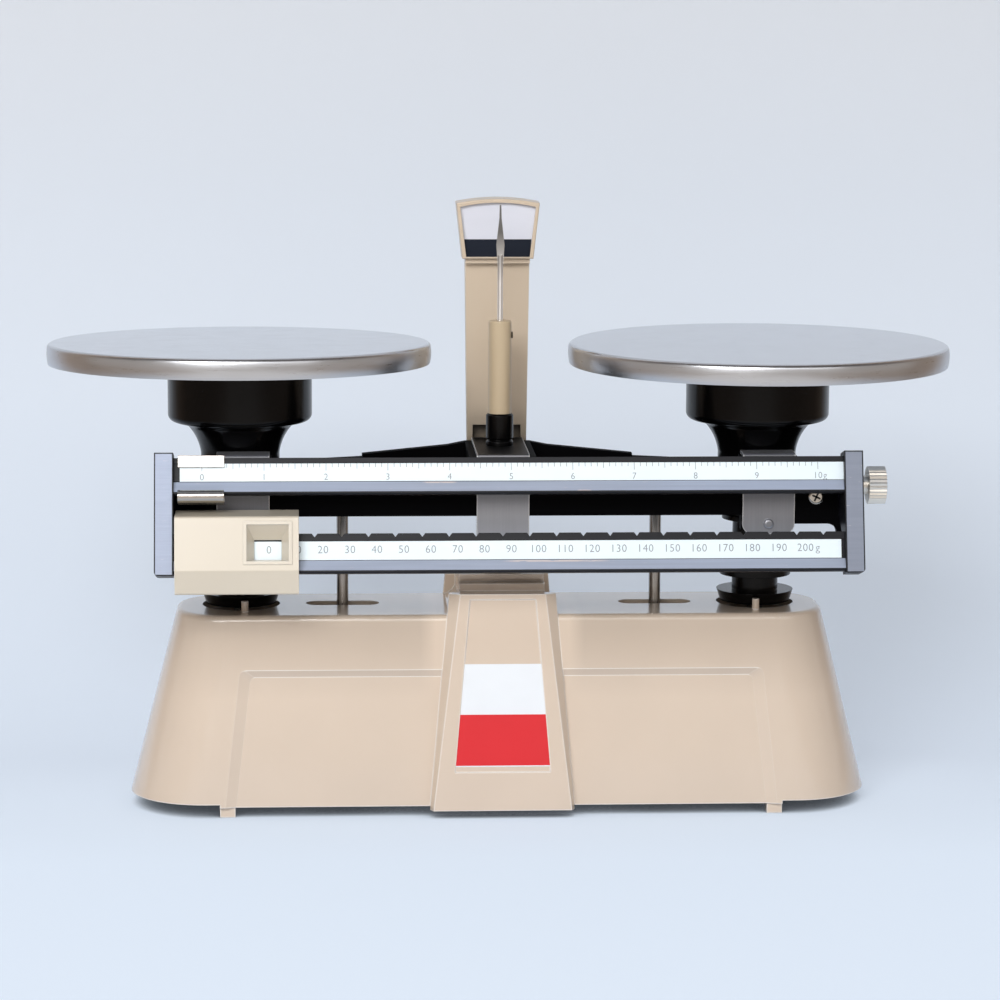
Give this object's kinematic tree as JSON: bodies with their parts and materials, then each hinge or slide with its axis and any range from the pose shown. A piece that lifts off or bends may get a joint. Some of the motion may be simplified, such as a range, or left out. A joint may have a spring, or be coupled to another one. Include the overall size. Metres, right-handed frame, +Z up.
{
  "type": "double-beam trip balance",
  "caption": "Bench balance with a cast base, knife-edge beam, twin pans on upright carriers, graduated bars with sliding riders, a pointer and a zero knob.",
  "frame": {"origin": "on the table, midway between the two pans", "axes": "+X to the right seen from the front, +Y to the back, +Z up"},
  "size_m": [0.354, 0.1501, 0.2377],
  "materials": {
    "beige_enamel": "glossy enamel",
    "cream_enamel": "glossy enamel",
    "black_enamel": "glossy enamel",
    "black_aluminium": "semi-gloss paint",
    "grey_aluminium": "satin",
    "white_scale": "matt white",
    "stainless": "brushed",
    "bright_sheet": "bright rolled",
    "nickel": "bright plated",
    "plain_steel": "machined",
    "hard_steel": "ground",
    "raw_iron": "as cast"
  },
  "bodies": {
    "base": {"base_casting": "beige_enamel", "fulcrum_bearing": "hard_steel", "column": "beige_enamel", "column_screws": "plain_steel", "scale_housing": "beige_enamel", "scale_plate": "white_scale", "check_pivot_pin": "plain_steel"},
    "check_lever": {"check_lever": "raw_iron", "left_link_pin": "plain_steel", "right_link_pin": "plain_steel"},
    "beam": {"beam_casting": "black_aluminium", "centre_knife": "hard_steel", "left_end_knife": "hard_steel", "right_end_knife": "hard_steel", "bridge_bracket": "bright_sheet", "left_bracket": "bright_sheet", "right_bracket": "bright_sheet", "bracket_rivets": "bright_sheet", "end_block_screw": "nickel", "upper_bar": "grey_aluminium", "lower_bar": "grey_aluminium", "fine_scale_strip": "white_scale", "coarse_scale_strip": "white_scale", "left_end_cap": "grey_aluminium", "right_end_cap": "grey_aluminium", "end_cap_screws": "plain_steel", "left_hanger_rod": "plain_steel", "right_hanger_rod": "plain_steel", "left_hanger_weight": "raw_iron", "right_hanger_weight": "raw_iron", "pointer_boss": "black_enamel", "pointer_weight": "beige_enamel", "pointer_set_screw": "plain_steel", "pointer_needle": "nickel"},
    "fine_rider": {"fine_rider": "nickel"},
    "coarse_rider": {"coarse_rider": "cream_enamel", "coarse_window_frame": "cream_enamel", "coarse_detent": "plain_steel"},
    "zero_knob": {"zero_knob": "nickel", "zero_screw": "plain_steel"},
    "zero_nut": {"zero_nut": "plain_steel"},
    "left_carrier": {"left_cup": "black_enamel", "left_bearing": "hard_steel", "left_spool": "black_enamel", "left_stem_rod": "plain_steel"},
    "right_carrier": {"right_cup": "black_enamel", "right_bearing": "hard_steel", "right_spool": "black_enamel", "right_stem_rod": "plain_steel"},
    "left_pan": {"left_pan": "stainless", "left_pan_ring": "stainless"},
    "right_pan": {"right_pan": "stainless", "right_pan_ring": "stainless"}
  },
  "joints": [
    {"name": "beam_tilt", "type": "hinge", "parent": "base", "child": "beam", "pos_m": [0, 0, 0.13], "axis": [0, 1, 0], "range_deg": [-2.4, 2.4]},
    {"name": "left_carrier_level", "type": "hinge", "parent": "beam", "child": "left_carrier", "pos_m": [-0.102, 0, 0.13], "axis": [0, 1, 0], "range_deg": [-2.4, 2.4]},
    {"name": "right_carrier_level", "type": "hinge", "parent": "beam", "child": "right_carrier", "pos_m": [0.102, 0, 0.13], "axis": [0, 1, 0], "range_deg": [-2.4, 2.4]},
    {"name": "check_lever_turn", "type": "hinge", "parent": "base", "child": "check_lever", "pos_m": [0, 0, 0.022], "axis": [0, 1, 0], "range_deg": [-2.4, 2.4]},
    {"name": "fine_rider_slide", "type": "slide", "parent": "beam", "child": "fine_rider", "axis": [1, 0, 0], "range_m": [0, 0.2367]},
    {"name": "coarse_rider_slide", "type": "slide", "parent": "beam", "child": "coarse_rider", "axis": [1, 0, 0], "range_m": [0, 0.206]},
    {"name": "zero_nut_travel", "type": "slide", "parent": "beam", "child": "zero_nut", "axis": [1, 0, 0], "range_m": [-0.0015, 0.0015]},
    {"name": "zero_knob_turn", "type": "hinge", "parent": "beam", "child": "zero_knob", "pos_m": [0.1475, -0.012, 0.1273], "axis": [1, 0, 0], "range_deg": [-540, 540]},
    {"name": "left_pan_lift", "type": "slide", "parent": "left_carrier", "child": "left_pan", "axis": [0, 0, 1], "range_m": [0, 0.06]},
    {"name": "right_pan_lift", "type": "slide", "parent": "right_carrier", "child": "right_pan", "axis": [0, 0, 1], "range_m": [0, 0.06]}
  ],
  "couplings": [
    {"joint": "left_carrier_level", "follows": "beam_tilt", "ratio": -1},
    {"joint": "right_carrier_level", "follows": "beam_tilt", "ratio": -1},
    {"joint": "check_lever_turn", "follows": "beam_tilt", "ratio": 1},
    {"joint": "zero_knob_turn", "follows": "zero_nut_travel", "rad_per_m": 6283.2}
  ]
}
